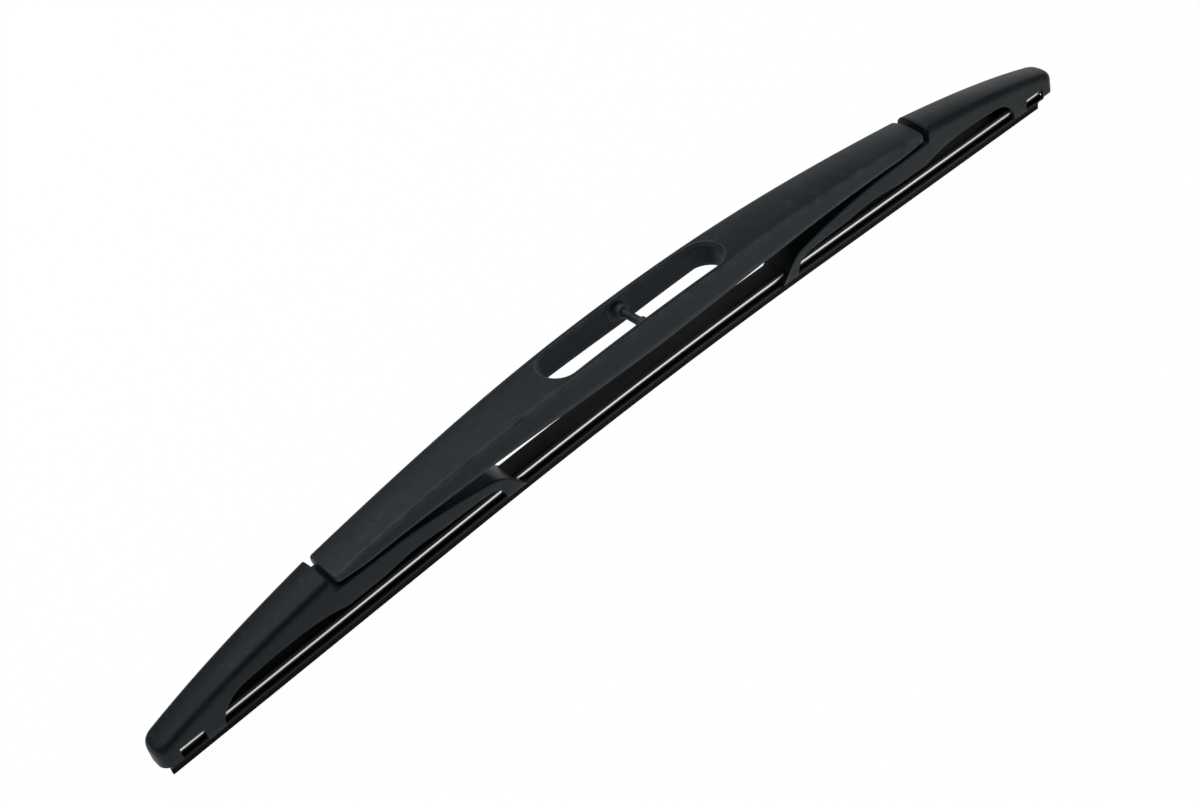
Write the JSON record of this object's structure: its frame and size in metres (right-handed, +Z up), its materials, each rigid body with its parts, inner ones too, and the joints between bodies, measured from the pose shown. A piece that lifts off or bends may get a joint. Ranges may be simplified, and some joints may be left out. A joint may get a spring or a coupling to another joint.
{
  "type": "wiper blade",
  "caption": "Windscreen wiper blade: an arched bridge with an arm slot and cross pin, pivoting end yokes and a rubber element on steel splines.",
  "frame": {"origin": "middle of the cross pin that the wiper arm clips on", "axes": "+X along the blade, +Y across it (parallel to the cross pin), +Z up, away from the glass"},
  "size_m": [0.3544, 0.018, 0.0375],
  "materials": {
    "black_plastic": "satin",
    "rubber": "matte",
    "steel": "brushed"
  },
  "bodies": {
    "bridge": {"main_bridge": "black_plastic", "rubber_element": "rubber", "front_spline": "steel", "rear_spline": "steel"},
    "left_yoke": {"left_yoke": "black_plastic"},
    "right_yoke": {"right_yoke": "black_plastic"}
  },
  "joints": [
    {"name": "left_yoke_pivot", "type": "hinge", "parent": "bridge", "child": "left_yoke", "pos_m": [-0.101, 0, -0.00545], "axis": [0, 1, 0], "range_deg": [-6, 6], "stiffness_Nm_per_rad": 0.2, "deforming": ["rubber_element", "front_spline", "rear_spline"]},
    {"name": "right_yoke_pivot", "type": "hinge", "parent": "bridge", "child": "right_yoke", "pos_m": [0.101, 0, -0.00545], "axis": [0, 1, 0], "range_deg": [-6, 6], "stiffness_Nm_per_rad": 0.2, "deforming": ["rubber_element", "front_spline", "rear_spline"]}
  ]
}
